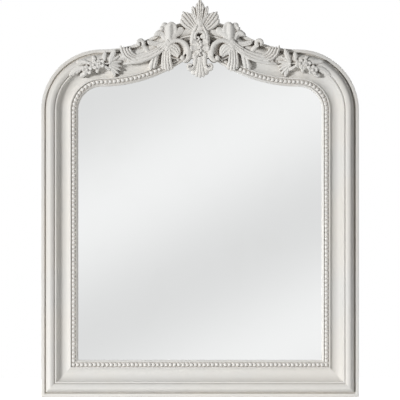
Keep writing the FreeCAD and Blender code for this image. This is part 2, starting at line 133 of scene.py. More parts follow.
def antiquePaint(name):
    f = Finish(bpy.data.materials.new(name))
    own = coats[name]
    look = {key: rgb(*value) for key, value in paintLook.items()}
    drift = f.noise(5.0, 3.0).ease(0.35, 0.65)
    blotch = f.noise(70.0, 4.0, 0.6)
    coat = f.mix(drift, look["cool"], look["warm"])
    coat = f.mix(0.5, coat, look["paint"])
    # the whole coat lightened toward the rubbed colour by the lift, a painted highlight; the same light colour stands
    # for real wear on the ridges below
    coat = f.mix(own["paintedHighlight"], coat, look["rubbedAndHighlight"])
    # a glaze rubbed into the hollows where ambient occlusion finds them, an antique wash and painted shade together,
    # and paint rubbed thin on the ridges
    openness = f.node("AmbientOcclusion", {"samples": 12}, {"Distance": own["reach"]}, "AO")
    hollow = (1 - openness).ease(0.18, 0.85) * own["crevice"] * (0.65 + 0.7 * blotch)
    ridge = f.node("NewGeometry", None, None, "Pointiness").ease(0.51, 0.58)
    coat = f.mix(ridge * 0.6, coat, look["rubbedAndHighlight"])
    coat = f.mix(hollow, coat, look[own["glazeAndShade"]])
    speck = f.noise(420.0, 2.0, 0.6).ease(0.69, 0.76) * 0.22
    coat = f.mix(speck, coat, look["glazeAndShade"])
    brush = f.noise(260.0, 3.0, 0.6, (1.0, 1.0, 0.25))
    gloss = 0.44 + 0.16 * blotch + 0.08 * brush
    # the back was never painted
    facing = f.node("SeparateXYZ", None, {0: f.node("NewGeometry", None, None, "Normal")}, 1)
    bare = facing.ease(0.55, 0.85)
    if own["timberBack"]:
        grain = f.noise(30.0, 5.0, 0.62, (1.0, 1.0, 0.06))
        pores = f.noise(420.0, 2.0, 0.5, (1.0, 1.0, 0.04)).ease(0.5, 0.8)
        behind = f.mix(grain.ease(0.3, 0.7), look["timber"], look["timberDark"])
        behind = f.mix(pores * 0.35, behind, look["timberDark"])
    else:
        behind = f.mix(blotch, look["resin"], look["paint"])
    colour = f.mix(bare, coat, behind)
    rough = gloss + bare * 0.25
    relief = f.bump(brush * 0.7 + blotch * 0.5, 0.0004, 0.35)
    return f.surface({"Base Color": colour, "Roughness": rough, "Normal": relief, "Specular IOR Level": 0.35})


mirrorLook = {"clear": (246, 247, 247), "smudged": (240, 241, 240)}


def mirrorSilver(name):
    f = Finish(bpy.data.materials.new(name))
    smudge = f.noise(6.0, 3.0, 0.55).ease(0.5, 0.8)
    dust = f.noise(900.0, 1.0).ease(0.72, 0.8)
    colour = f.mix(smudge * 0.3, rgb(*mirrorLook["clear"]), rgb(*mirrorLook["smudged"]))
    rough = 0.006 + 0.012 * smudge + 0.03 * dust
    return f.surface({"Base Color": colour, "Metallic": 1.0, "Roughness": rough})


boardLook = {"light": (139, 103, 69), "dark": (118, 84, 54), "fibre": (171, 138, 99)}


def pressedBoard(name):
    f = Finish(bpy.data.materials.new(name))
    fibre = f.noise(340.0, 5.0, 0.7)
    cloud = f.noise(9.0, 3.0)
    colour = f.mix(cloud.ease(0.3, 0.7), rgb(*boardLook["light"]), rgb(*boardLook["dark"]))
    colour = f.mix(fibre.ease(0.55, 0.8) * 0.6, colour, rgb(*boardLook["fibre"]))
    return f.surface({"Base Color": colour, "Roughness": 0.6 + 0.25 * fibre, "Normal": f.bump(fibre, 0.0003, 0.5)})


beechLook = {"light": (206, 171, 128), "dark": (178, 139, 97), "fleck": (140, 103, 68)}


def bareBeech(name):
    f = Finish(bpy.data.materials.new(name))
    grain = f.noise(60.0, 4.0, 0.6, (0.1, 1.0, 1.0))
    fleck = f.noise(700.0, 1.0, 0.5, (0.08, 1.0, 1.0)).ease(0.55, 0.75)
    colour = f.mix(grain, rgb(*beechLook["light"]), rgb(*beechLook["dark"]))
    colour = f.mix(fleck * 0.5, colour, rgb(*beechLook["fleck"]))
    return f.surface({"Base Color": colour, "Roughness": 0.55 + 0.2 * grain, "Normal": f.bump(grain, 0.0002, 0.4)})


rubberLook = {"black": (44, 44, 46), "dusty": (74, 73, 71)}


def blockRubber(name):
    f = Finish(bpy.data.materials.new(name))
    dust = f.noise(500.0, 3.0, 0.6)
    colour = f.mix(dust.ease(0.4, 0.8), rgb(*rubberLook["black"]), rgb(*rubberLook["dusty"]))
    return f.surface({"Base Color": colour, "Roughness": 0.7 + 0.2 * dust, "Normal": f.bump(dust, 0.0002, 0.3)})


metals = {"wornBrass": {"bright": (226, 190, 118), "dull": (158, 122, 66), "scratch": (1.0, 1.0, 0.08)},
          "dullZinc": {"bright": (168, 170, 172), "dull": (112, 115, 118), "scratch": (0.08, 1.0, 1.0)},
          "screwSteel": {"bright": (198, 196, 190), "dull": (120, 117, 112), "scratch": (1.0, 1.0, 1.0)}}


def wornMetal(name):
    f = Finish(bpy.data.materials.new(name))
    own = metals[name]
    bright, dull = rgb(*own["bright"]), rgb(*own["dull"])
    tarnish = f.noise(120.0, 4.0, 0.62).ease(0.4, 0.72)
    lines = f.noise(900.0, 2.0, 0.5, own["scratch"])
    edge = f.node("NewGeometry", None, None, "Pointiness").ease(0.52, 0.6)
    colour = f.mix(tarnish, bright, dull)
    colour = f.mix(edge * 0.6, colour, bright)
    rough = 0.24 + 0.22 * tarnish + 0.14 * lines
    return f.surface({"Base Color": colour, "Metallic": 1.0, "Roughness": rough,
                      "Normal": f.bump(lines, 0.0001, 0.25)})


framePaint = antiquePaint("framePaint")
beadPaint = antiquePaint("beadPaint")
carvingPaint = antiquePaint("carvingPaint")
silver = mirrorSilver("mirrorSilver")
boardFinish = pressedBoard("pressedBoard")
beech = bareBeech("bareBeech")
rubber = blockRubber("blockRubber")
brass = wornMetal("wornBrass")
zinc = wornMetal("dullZinc")
steel = wornMetal("screwSteel")
print("finishes ready")


# helpers for working on one object at a time
def clearSelection():
    if bpy.context.object and bpy.context.object.mode != "OBJECT":
        bpy.ops.object.mode_set(mode="OBJECT")
    bpy.ops.object.select_all(action="DESELECT")


def only(piece):
    clearSelection()
    piece.select_set(True)
    bpy.context.view_layer.objects.active = piece


def editing(piece):
    only(piece)
    bpy.ops.object.mode_set(mode="EDIT")
    bpy.ops.mesh.select_all(action="SELECT")


def tidied(piece):  # doubles merged and faces turned outwards
    editing(piece)
    bpy.ops.mesh.remove_doubles(threshold=0.00002)
    bpy.ops.mesh.normals_make_consistent(inside=False)
    bpy.ops.object.mode_set(mode="OBJECT")


def modified(piece, kind, **settings):
    only(piece)
    modifier = piece.modifiers.new(kind.lower(), kind)
    for key, value in settings.items():
        setattr(modifier, key, value)
    bpy.ops.object.modifier_apply(modifier=modifier.name)


def joined(pieces, name):
    clearSelection()
    for piece in pieces:
        piece.select_set(True)
    bpy.context.view_layer.objects.active = pieces[0]
    if len(pieces) > 1:
        bpy.ops.object.join()
    whole = bpy.context.object
    whole.name = name
    return whole


def copied(piece, name, matrix=None):  # a copy with its own mesh
    twin = piece.copy()
    twin.data = piece.data.copy()
    twin.name = name
    bpy.context.scene.collection.objects.link(twin)
    if matrix is not None:
        twin.data.transform(matrix)
    return twin


def mirroredCopy(piece, name):
    twin = copied(piece, name, Matrix.Diagonal((-1, 1, 1, 1)))
    tidied(twin)
    return twin


def finished(piece, material, body, nodes=(), angle=35):
    only(piece)
    if angle:
        bpy.ops.object.shade_smooth_by_angle(angle=math.radians(angle))
    else:
        bpy.ops.object.shade_smooth()
    piece.data.materials.clear()
    piece.data.materials.append(material)
    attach(piece, body)
    if nodes:
        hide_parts(*nodes)
    return piece


# frame members: one moulding, run straight and spun round the curves, in mm
outline = {"halfWidth": 450.0, "spring": 813.0, "shoulderX": 278.0, "shoulderTop": 985.0,
           "hollowZ": 1287.43, "peakZ": 859.35, "headPeak": 1067.35, "slope": 33.0,
           "shoulderSteps": 30, "hollowSteps": 18, "peakSteps": 36, "stileOverrun": 130.0, "railOverrun": 20.0}

# places across the section: distance in from the outer edge, then height from the wall
moulding = {"band": (9.6, 29.2, 2.6), "groove": (1.0, 0.6), "torusFoot": (12.5, 22.0), "torusShoulder": (18.2, 44.0),
            "torusTop": (27.0, 44.0), "torusInner": (38.9, 35.0), "quirk": 0.6, "fillet": (39.7, 43.5, 38.0),
            "coveFloor": (62.25, 20.5), "coveEdge": (81.0, 25.5), "rim": (84.7, 28.0), "channel": (98.5, 22.0),
            "lip": (104.5, 27.0, 21.5), "lipSoftness": 1.4, "rebate": (95.0, 13.0), "step": (60.0, 6.0),
            "softness": 0.7, "torusSteps": 12, "innerSteps": 10, "coveSteps": 18, "smoothAngle": 28}


def quarterArc(centre, across, up, fromTurn, toTurn, steps):  # ellipse, turns in degrees
    line = []
    for i in range(steps + 1):
        turn = math.radians(fromTurn + (toTurn - fromTurn) * i / steps)
        line.append((centre[0] + across * math.cos(turn), centre[1] + up * math.sin(turn)))
    return line


def arcThrough(first, middle, last, steps):
    ax, ay = first
    bx, by = middle
    cx, cy = last
    d = 2 * (ax * (by - cy) + bx * (cy - ay) + cx * (ay - by))
    aa, bb, cc = ax * ax + ay * ay, bx * bx + by * by, cx * cx + cy * cy
    ux = (aa * (by - cy) + bb * (cy - ay) + cc * (ay - by)) / d
    uy = (aa * (cx - bx) + bb * (ax - cx) + cc * (bx - ax)) / d
    radius = math.hypot(ax - ux, ay - uy)
    start = math.atan2(ay - uy, ax - ux)
    end = math.atan2(cy - uy, cx - ux)
    if end < start:
        end += 2 * math.pi
    return [(ux + radius * math.cos(start + (end - start) * i / steps),
             uy + radius * math.sin(start + (end - start) * i / steps)) for i in range(steps + 1)]


def softCorner(before, corner, after, radius):  # a corner worn round
    a, b, c = Vector(before), Vector(corner), Vector(after)
    start = b + (a - b).normalized() * min(radius, (a - b).length * 0.45)
    end = b + (c - b).normalized() * min(radius, (c - b).length * 0.45)
    return [tuple(start.lerp(b, t).lerp(b.lerp(end, t), t)) for t in (0, 0.33, 0.67, 1)]


def mouldingLine():
    m = moulding
    bandWidth, bandHeight, bandSoft = m["band"]
    soft = m["softness"]
    filletStart, filletEnd, filletHeight = m["fillet"]
    lipEnd, lipHigh, lipLow = m["lip"]
    rimEnd, rimHeight = m["rim"]
    channelEnd, channelFloor = m["channel"]
    line = [(0.0, 0.0)]
    line += softCorner((0, 0), (0, bandHeight), (bandWidth, bandHeight), bandSoft)
    line += softCorner((0, bandHeight), (bandWidth, bandHeight), (bandWidth, 0), bandSoft)
    foot, top, inner = m["torusFoot"], m["torusTop"], m["torusInner"]
    line.append((foot[0] - m["groove"][0], foot[1] - m["groove"][1]))
    a, b, c = Vector(foot), Vector(m["torusShoulder"]), Vector(top)
    shares = [i / m["torusSteps"] for i in range(m["torusSteps"] + 1)]
    line += [tuple(a.lerp(b, t).lerp(b.lerp(c, t), t)) for t in shares]
    line += quarterArc((top[0], inner[1]), inner[0] - top[0], top[1] - inner[1], 90, 0, m["innerSteps"])[1:]
    line.append((filletStart, inner[1] - m["quirk"]))
    line += softCorner((filletStart, inner[1]), (filletStart, filletHeight), (filletEnd, filletHeight), soft)
    cove = arcThrough((filletEnd, filletHeight), m["coveFloor"], m["coveEdge"], m["coveSteps"])
    line += softCorner((filletStart, filletHeight), cove[0], cove[1], soft)
    line += cove[1:]
    line += softCorner(m["coveEdge"], (m["coveEdge"][0], rimHeight), (rimEnd, rimHeight), soft)
    line += softCorner((m["coveEdge"][0], rimHeight), (rimEnd, rimHeight), (rimEnd, channelFloor), soft)
    line += [(rimEnd, channelFloor), (channelEnd, channelFloor)]
    line += softCorner((channelEnd, channelFloor), (channelEnd, lipHigh), (lipEnd, lipLow), m["lipSoftness"])
    line += softCorner((channelEnd, lipHigh), (lipEnd, lipLow), (lipEnd, m["rebate"][1]), m["lipSoftness"])
    line += [(lipEnd, m["rebate"][1]), m["rebate"], (m["rebate"][0], m["step"][1]), m["step"], (m["step"][0], 0.0)]
    return line


def ringOf(line, x, z, inX, inZ, name):  # the section as a closed ring of edges, standing at a place
    clearSelection()
    bpy.ops.mesh.primitive_circle_add(vertices=len(line), radius=0.1)
    ring = bpy.context.object
    ring.name = name
    for vertex, (inset, height) in zip(ring.data.vertices, line):
        vertex.co = Vector((x + inX * inset, -height, z + inZ * inset)) * mm
    editing(ring)
    return ring


def runOn(x, z):  # the selected ring goes on in a straight line
    bpy.ops.mesh.extrude_region_move(TRANSFORM_OT_translate={"value": (x * mm, 0, z * mm)})


def turnOn(x, z, turn, steps):  # and round a centre, to the left where the turn is positive
    bpy.ops.mesh.spin(steps=steps, angle=math.radians(turn), center=(x * mm, 0, z * mm), axis=(0, 1, 0))


def capped(piece):  # open ends closed
    bpy.ops.mesh.select_all(action="SELECT")
    bpy.ops.mesh.fill_holes(sides=0)
    bpy.ops.object.mode_set(mode="OBJECT")
    tidied(piece)
    return piece


def cutMitre(x, normal):  # what lies behind the plane is cleared
    bpy.ops.mesh.select_all(action="SELECT")
    bpy.ops.mesh.bisect(plane_co=(x * mm, 0, 0), plane_no=normal, clear_inner=True)


def rightStile(line, name):
    o = outline
    piece = ringOf(line, o["halfWidth"], -o["stileOverrun"], -1, 0, name)
    runOn(0, o["spring"] + o["stileOverrun"])
    turnOn(o["shoulderX"], o["spring"], 90, o["shoulderSteps"])
    cutMitre(o["halfWidth"], (1, 0, 1))
    return capped(piece)


def bottomRail(line, name):
    o = outline
    reach = o["halfWidth"] + o["railOverrun"]
    piece = ringOf(line, -reach, 0, 0, 1, name)
    runOn(2 * reach, 0)
    for side in (1, -1):
        cutMitre(side * o["halfWidth"], (-side, 0, -1))
    return capped(piece)


def headRail(line, name):
    o = outline
    piece = ringOf(line, o["shoulderX"], o["shoulderTop"], 0, -1, name)
    turnOn(o["shoulderX"], o["hollowZ"], -o["slope"], o["hollowSteps"])
    turnOn(0, o["peakZ"], 2 * o["slope"], o["peakSteps"])
    turnOn(-o["shoulderX"], o["hollowZ"], -o["slope"], o["hollowSteps"])
    return capped(piece)


section = mouldingLine()
stileRight = rightStile(section, "stileRight")
stileLeft = mirroredCopy(stileRight, "stileLeft")
railBottom = bottomRail(section, "railBottom")
railHead = headRail(section, "railHead")
for piece, node in ((stileRight, "right_stile"), (stileLeft, "left_stile"), (railBottom, "bottom_rail"),
                    (railHead, "head_rail")):
    finished(piece, framePaint, "frame", [node], moulding["smoothAngle"])
print("members run and spun")


# pearl beading: a strip in the channel, with one bead copied along it
beading = {"diameter": 11.2, "pitch": 12.0, "line": 91.6, "foot": 23.6, "floor": 22.0, "from": 85.0, "to": 98.2,
           "segments": 12, "rings": 8, "cut": 0.4, "sink": 0.2, "bedding": 0.3, "arris": 0.5, "channelEnd": 98.5}


def oneBead():
    clearSelection()
    b = beading
    bpy.ops.mesh.primitive_uv_sphere_add(segments=b["segments"], ring_count=b["rings"],
                                         radius=b["diameter"] / 2 * mm, rotation=(math.radians(90), 0, 0))
    bead = bpy.context.object
    bpy.ops.object.transform_apply(location=True, rotation=True, scale=True)
    editing(bead)
    bpy.ops.mesh.bisect(plane_co=(0, b["cut"] * mm, 0), plane_no=(0, -1, 0), clear_inner=True)  # only the front shows
    bpy.ops.object.mode_set(mode="OBJECT")
    return bead


def strewn(bead, places, name):  # the bead's mesh repeated at each place
    verts, faces = [], []
    corners = [v.co.copy() for v in bead.data.vertices]
    polys = [tuple(p.vertices) for p in bead.data.polygons]
    for x, z in places:
        base = len(verts)
        shift = Vector((x, -beading["foot"] - beading["sink"], z)) * mm
        verts += [c + shift for c in corners]
        faces += [tuple(base + i for i in poly) for poly in polys]
    mesh = bpy.data.meshes.new(name)
    mesh.from_pydata(verts, [], faces)
    piece = bpy.data.objects.new(name, mesh)
    bpy.context.scene.collection.objects.link(piece)
    return piece


def stripLine():
    b = beading
    low, edge, arris = b["floor"] - b["bedding"], b["foot"] - b["arris"], b["arris"]
    return [(b["from"], low), (b["from"], edge), (b["from"] + arris, b["foot"]),
            (b["to"] - arris, b["foot"]), (b["to"], edge), (b["to"], low)]


def evenSteps(length):
    count = max(2, round(length / beading["pitch"]))
    return count, length / count


def headBeads():  # places over the right half of the head, as far as the middle
    o, line = outline, beading["line"]
    slope = math.radians(o["slope"])
    radii = (o["halfWidth"] - o["shoulderX"] - line, o["hollowZ"] - o["shoulderTop"] + line,
             o["headPeak"] - o["peakZ"] - line)
    lengths = (radii[0] * math.pi / 2, radii[1] * slope, radii[2] * slope)
    count, step = evenSteps(sum(lengths))
    places = []
    for i in range(count):
        run = (i + 0.5) * step
        if run < lengths[0]:
            turn = run / radii[0]
            places.append((o["shoulderX"] + radii[0] * math.cos(turn), o["spring"] + radii[0] * math.sin(turn)))
        elif run < lengths[0] + lengths[1]:
            turn = (run - lengths[0]) / radii[1]
            places.append((o["shoulderX"] - radii[1] * math.sin(turn), o["hollowZ"] - radii[1] * math.cos(turn)))
        else:
            turn = (sum(lengths) - run) / radii[2]
            places.append((radii[2] * math.sin(turn), o["peakZ"] + radii[2] * math.cos(turn)))
    return places


def beadStrips():
    o, b = outline, beading
    bead = oneBead()
    count, step = evenSteps(o["spring"] - b["line"] - b["pitch"] / 2)
    upright = ringOf(stripLine(), o["halfWidth"], b["channelEnd"], -1, 0, "stripRightBase")
    runOn(0, o["spring"] - b["channelEnd"])
    upright = capped(upright)
    places = [(o["halfWidth"] - b["line"], b["line"] + step * (i + 1)) for i in range(count)]
    right = joined([upright, strewn(bead, places, "beadsRight")], "beadsRight")
    left = mirroredCopy(right, "beadsLeft")
    reach = o["halfWidth"] - b["line"]
    count, step = evenSteps(2 * reach)
    end = o["halfWidth"] - b["from"]
    low = ringOf(stripLine(), -end, 0, 0, 1, "stripBottomBase")
    runOn(2 * end, 0)
    low = capped(low)
    bottom = joined([low, strewn(bead, [(i * step - reach, b["line"]) for i in range(count + 1)], "beadsBottom")],
                    "beadsBottom")
    over = ringOf(stripLine(), o["halfWidth"], o["spring"], -1, 0, "stripHeadBase")
    turnOn(o["shoulderX"], o["spring"], 90, o["shoulderSteps"])
    turnOn(o["shoulderX"], o["hollowZ"], -o["slope"], o["hollowSteps"])
    turnOn(0, o["peakZ"], o["slope"], o["peakSteps"] // 2)
    over = capped(over)
    headRight = joined([over, strewn(bead, headBeads(), "beadsHeadRight")], "beadsHeadRight")
    headLeft = mirroredCopy(headRight, "beadsHeadLeft")
    bpy.data.objects.remove(bead)
    for piece, node in ((right, "bead_strip_right"), (left, "bead_strip_left"), (bottom, "bead_strip_bottom"),
                        (headRight, "bead_strip_head_right"), (headLeft, "bead_strip_head_left")):
        finished(piece, beadPaint, "frame", [node], 50)


beadStrips()
print("beads strung")


# carving: leaves, bands, dishes and balls, joined and worked over as one casting
carving = {"ground": 44.0, "leafColumns": 12, "leafRows": 24, "leastDepth": 1.5, "voxel": 0.88, "smoothing": 2}


def smooth(value):
    value = min(1.0, max(0.0, value))
    return value * value * (3 - 2 * value)


def gridForm(columns, rows, place, back):  # a grid laid out by place(u, v), thickened to the back level
    clearSelection()
    bpy.ops.mesh.primitive_grid_add(x_subdivisions=columns, y_subdivisions=rows, size=2)
    form = bpy.context.object
    for vertex in form.data.vertices:
        x, height, z = place(vertex.co.x, vertex.co.y)
        vertex.co = Vector((x, -max(height, back + carving["leastDepth"]), z)) * mm
    editing(form)
    bpy.ops.mesh.extrude_region_move(TRANSFORM_OT_translate={"value": (0, 0.02, 0)})
    bpy.ops.transform.resize(value=(1, 0, 1), center_override=(0, -back * mm, 0))
    bpy.ops.mesh.select_all(action="SELECT")
    bpy.ops.mesh.normals_make_consistent(inside=False)
    bpy.ops.object.mode_set(mode="OBJECT")
    return form


def leafForm(datum, row, back=30.0, neck=0.55, drop=0.8, power=1.7, vein=0.0, teeth=0, curl=0.0,
             hollow=(0.0, 0.0, 0.5)):
    # a carved leaf along a curve: it swells from its neck, ends round, and falls from a crown to its edges
    root, bend, tip, half, rootRise, tipRise = row
    ground = carving["ground"]

    def place(u, v):
        s = (v + 1) / 2
        t = 1 - (1 - s) ** 1.35
        x = (1 - t) ** 2 * root[0] + 2 * t * (1 - t) * bend[0] + t * t * tip[0]
        z = (1 - t) ** 2 * root[1] + 2 * t * (1 - t) * bend[1] + t * t * tip[1]
        dx = (1 - t) * (bend[0] - root[0]) + t * (tip[0] - bend[0])
        dz = (1 - t) * (bend[1] - root[1]) + t * (tip[1] - bend[1])
        size = math.hypot(dx, dz)
        if t < 0.5:
            breadth = neck + (1 - neck) * smooth(t / 0.5)
        else:
            breadth = math.sqrt(max(0.0, 1 - ((t - 0.5) / 0.5) ** 2.6))
        if teeth:
            breadth *= 1 - 0.24 * abs(math.sin(math.pi * teeth * t)) * (0.3 + 0.7 * t)
        crown = rootRise + (tipRise - rootRise) * t + curl * smooth((t - 0.55) / 0.3)
        fall = drop * half * (abs(u) ** power * (0.35 + 0.65 * breadth) + smooth((t - 0.85) / 0.15) * 0.5)
        groove = vein * math.exp(-(u / 0.2) ** 2) * smooth(t / 0.2) * smooth((1 - t) / 0.15)
        dip = math.exp(-((u - hollow[1]) / hollow[2]) ** 2) * smooth(t / 0.25) * smooth((1 - t) / 0.25)
        groove += hollow[0] * dip
        if teeth:
            groove += 0.2 * half * abs(math.sin(math.pi * teeth * (t - 0.22 * abs(u)))) * abs(u)
        side = u * half * breadth
        return (datum[0] + x + side * dz / size, ground + crown - fall - groove, datum[1] + z - side * dx / size)

    return gridForm(carving["leafColumns"], carving["leafRows"], place, back)


def scrollForm(datum, centre, radii, halves, rises, start, sweep, back=30.0, drop=0.9):
    # a round band wound along a spiral, angles anticlockwise from +X
    ground = carving["ground"]

    def place(u, v):
        t = (v + 1) / 2
        turn = math.radians(start + sweep * t)
        reach = radii[0] * (1 - t) + radii[-1] * t
        if len(radii) == 3:
            reach += (2 * radii[1] - radii[0] - radii[2]) * 2 * t * (1 - t)
        breadth = halves[0] + (halves[1] - halves[0]) * t
        if t < 0.1:
            breadth *= math.sqrt(max(0.02, 1 - ((0.1 - t) / 0.1) ** 2))
        if t > 0.94:
            breadth *= math.sqrt(max(0.02, 1 - ((t - 0.94) / 0.06) ** 2))
        crown = rises[0] + (rises[1] - rises[0]) * t
        out = reach + u * breadth
        fall = drop * breadth * (1 - math.sqrt(max(0.0, 1 - min(1.0, u * u))))
        return (datum[0] + centre[0] + out * math.cos(turn), ground + crown - fall,
                datum[1] + centre[1] + out * math.sin(turn))

    return gridForm(10, max(14, int(abs(sweep) / 8)), place, back)


def dishForm(datum, centre, radius, rise, depth, back=30.0):
    # a disc with a rim and a hollow
    ground = carving["ground"]

    def place(u, v):
        x = u * math.sqrt(1 - v * v / 2)
        z = v * math.sqrt(1 - u * u / 2)
        share = min(1.0, x * x + z * z)
        return (datum[0] + centre[0] + radius * x, ground + rise - depth * (1 - share),
                datum[1] + centre[1] + radius * z)

    return gridForm(14, 14, place, back)


def ballForm(datum, centre, radius, rise, flat=0.85):
    clearSelection()
    middle = Vector((datum[0] + centre[0], -carving["ground"] - rise, datum[1] + centre[1])) * mm
    bpy.ops.mesh.primitive_uv_sphere_add(segments=20, ring_count=12, radius=radius * mm, location=middle)
    form = bpy.context.object
    bpy.ops.object.transform_apply(location=True, rotation=True, scale=True)
    editing(form)
    bpy.ops.transform.resize(value=(1, flat, 1), center_override=middle)
    bpy.ops.object.mode_set(mode="OBJECT")
    return form


def fanForm(datum, left, middle, right, rises, flutes, depth, back=30.0, scallop=0.1, bulge=2.0, keen=0.5,
            pointed=0.0):
    # a fluted leaf between three curves: each is root, bend, tip
    ground = carving["ground"]

    def along(curve, t):
        return [(1 - t) ** 2 * curve[0][i] + 2 * t * (1 - t) * curve[1][i] + t * t * curve[2][i] for i in (0, 1)]

    def place(u, v):
        ridge = abs(math.sin(math.pi * flutes * (u + 1) / 2)) ** keen
        t = (v + 1) / 2
        t = (1 - (1 - t) ** 1.25) * (1 - scallop * (1 - ridge) * smooth(t / 0.9))
        a, b, c = along(left, t), along(middle, t), along(right, t)
        rounded = (u * (u - 1) / 2, 1 - u * u, u * (u + 1) / 2)
        straight = (max(0.0, -u), 1 - abs(u), max(0.0, u))
        shares = [r + (s - r) * pointed for r, s in zip(rounded, straight)]
        x, z = [shares[0] * a[i] + shares[1] * b[i] + shares[2] * c[i] for i in (0, 1)]
        height = rises[0] + (rises[1] - rises[0]) * t + bulge * (1 - u * u)
        height -= depth * (1 - ridge) * smooth(t / 0.25) + 3.0 * smooth((t - 0.86) / 0.14)
        return datum[0] + x, ground + height, datum[1] + z

    return gridForm(max(12, flutes * 7), 24, place, back)


def flipped(curves):
    return [[(-x, z) for x, z in curve] for curve in curves]


def flowerForms(datum, centre, radius, rise, petals=5, turn=0.0, back=30.0):
    forms = []
    for i in range(petals):
        angle = math.radians(turn + 360 * i / petals)
        c, s = math.cos(angle), math.sin(angle)
        ends = [(centre[0] + r * radius * c, centre[1] + r * radius * s) for r in (0.12, 0.6, 1.0)]
        petal = (*ends, radius * 0.42, rise - 5.0, rise - 0.5)
        forms.append(leafForm(datum, petal, back=back, neck=0.4, drop=0.6, power=2.0, vein=1.8))
    forms.append(ballForm(datum, centre, radius * 0.27, rise - 2.0))
    return forms


def cast(forms, name):
    piece = joined(forms, name)
    modified(piece, "REMESH", mode="VOXEL", voxel_size=carving["voxel"] * mm)
    modified(piece, "SMOOTH", factor=0.5, iterations=carving["smoothing"])
    return piece


def bothSides(rows):  # each row, and the same on the other side
    sides = []
    for row in rows:
        sides += [row, tuple((-x, z) for x, z in row[:3]) + row[3:]]
    return sides


crest = (0.0, outline["headPeak"])

palmette = {  # fans of flutes between three curves of root, bend and tip, and the leaves behind them
    "leaf": [[(-7, -16), (-8, 16), (-14, 38)], [(0, -18), (0, 22), (0, 59.6)], [(7, -16), (8, 16), (14, 38)]],
    "tooth": [[(4, -14), (10, 14), (14, 35)], [(6, -15), (16, 12), (23, 41)], [(7, -16), (17, 2), (24.5, 24)]],
    "lobe": [[(7, -14), (12, 4), (19, 16)], [(12, -22), (27, -6), (49, 25)], [(20, -31), (42, -27), (57, -8)]],
    "neck": ((0, 6), (0, -14), (0, -38), 16, 7, 10), "plate": ((0, -30), (0, 0), (0, 28), 22, 1, 1)}


def carvePalmette():
    p = palmette
    forms = [leafForm(crest, p["plate"], back=34.0, neck=0.9, drop=0.1),
             leafForm(crest, p["neck"], back=34.0, neck=0.5, drop=0.25, power=2.0)]
    forms.append(fanForm(crest, *p["leaf"], rises=(10, 12.5), flutes=4, depth=5.0, back=34.0, scallop=0.05,
                         keen=0.75, pointed=0.5))
    for turn in (list, flipped):
        forms.append(fanForm(crest, *turn(p["tooth"]), rises=(8, 10), flutes=2, depth=4.6, back=34.0, scallop=0.05,
                             keen=0.7, pointed=0.6))
        forms.append(fanForm(crest, *turn(p["lobe"]), rises=(6, 9.5), flutes=5, depth=5.4, back=34.0, scallop=0.05,
                             keen=0.75, pointed=0.75))
    return cast(forms, "palmette")


cartouche = {
    # the shield's half width at each level, and the pocket's middle and spread
    "edge": [(-12, 10), (-22, 16), (-34, 24), (-46, 28), (-60, 29), (-80, 27), (-100, 25), (-108, 23)],
    "pocket": (-1, -46, 10.0, 11.0),
    # bands: centre, radii, half widths, rises, start and sweep
    "rim": ((0, -46), (14, 14), (4.0, 4.0), (12, 12), 215, -250),
    "curl": ((-7, -52), (6.5, 2.5), (4.0, 2.5), (9, 10), 220, 300),
    "volute": ((27.5, -130), (10.0, 3.4), (5.2, 3.0), (1, 5), 178, 350),
    "bud": ((8, -47), 7.5, 5.0, 0.8),  # at the right of the pocket
    # leaves: root, bend, tip, half width, rise at root and tip
    "hooks": [((30, -86), (27, -112), (48, -114.5), 7.5, 12, 9)],
    "stems": [((14, -94), (12, -116), (17, -132), 6.2, 10, 1)],
    "fan": [[(-8, -104), (-12, -130), (-28, -146)], [(0, -104), (0, -132), (0, -162)],
            [(8, -104), (12, -130), (28, -146)]],
    "petals": [((2, -74), (13, -62), (25, -58), 10.0, 11, 13.5), ((2, -80), (14, -78), (29, -81), 10.5, 11, 13),
               ((1, -86), (10, -97), (17, -106), 9.0, 10, 9)],
    "berries": [(1, -62, 4.6), (-4, -69, 3.8), (4, -71, 4.2), (0, -78, 4.6), (3, -86, 4.0), (-2, -92, 4.0),
                (1, -99, 3.8)], "berryRise": 11.6}


def shieldForm(datum, edge, pocket, back):
    # the smooth ground of the cartouche, with a raised band at each edge and a pocket under the neck
    def place(u, v):
        share = (v + 1) / 2 * (len(edge) - 1)
        i = min(int(share), len(edge) - 2)
        z = edge[i][0] + (edge[i + 1][0] - edge[i][0]) * (share - i)
        x = u * (edge[i][1] + (edge[i + 1][1] - edge[i][1]) * smooth(share - i))
        sink = math.exp(-((x - pocket[0]) / pocket[2]) ** 2 - ((z - pocket[1]) / pocket[3]) ** 2)
        middle = 1 - smooth((abs(x) - 10) / 10) * smooth((-z - 20) / 20)
        band = 5.5 * (1 - ((abs(u) - 0.72) / 0.28) ** 2) if abs(u) > 0.44 else 0.0
        band *= 1 - smooth((-z - 54) / 14)  # the petals take over lower down
        height = carving["ground"] + 6 - 9 * middle * smooth((-z - 40) / 20) + band - 12 * sink
        return datum[0] + x, height, datum[1] + z

    return gridForm(48, 40, place, back)


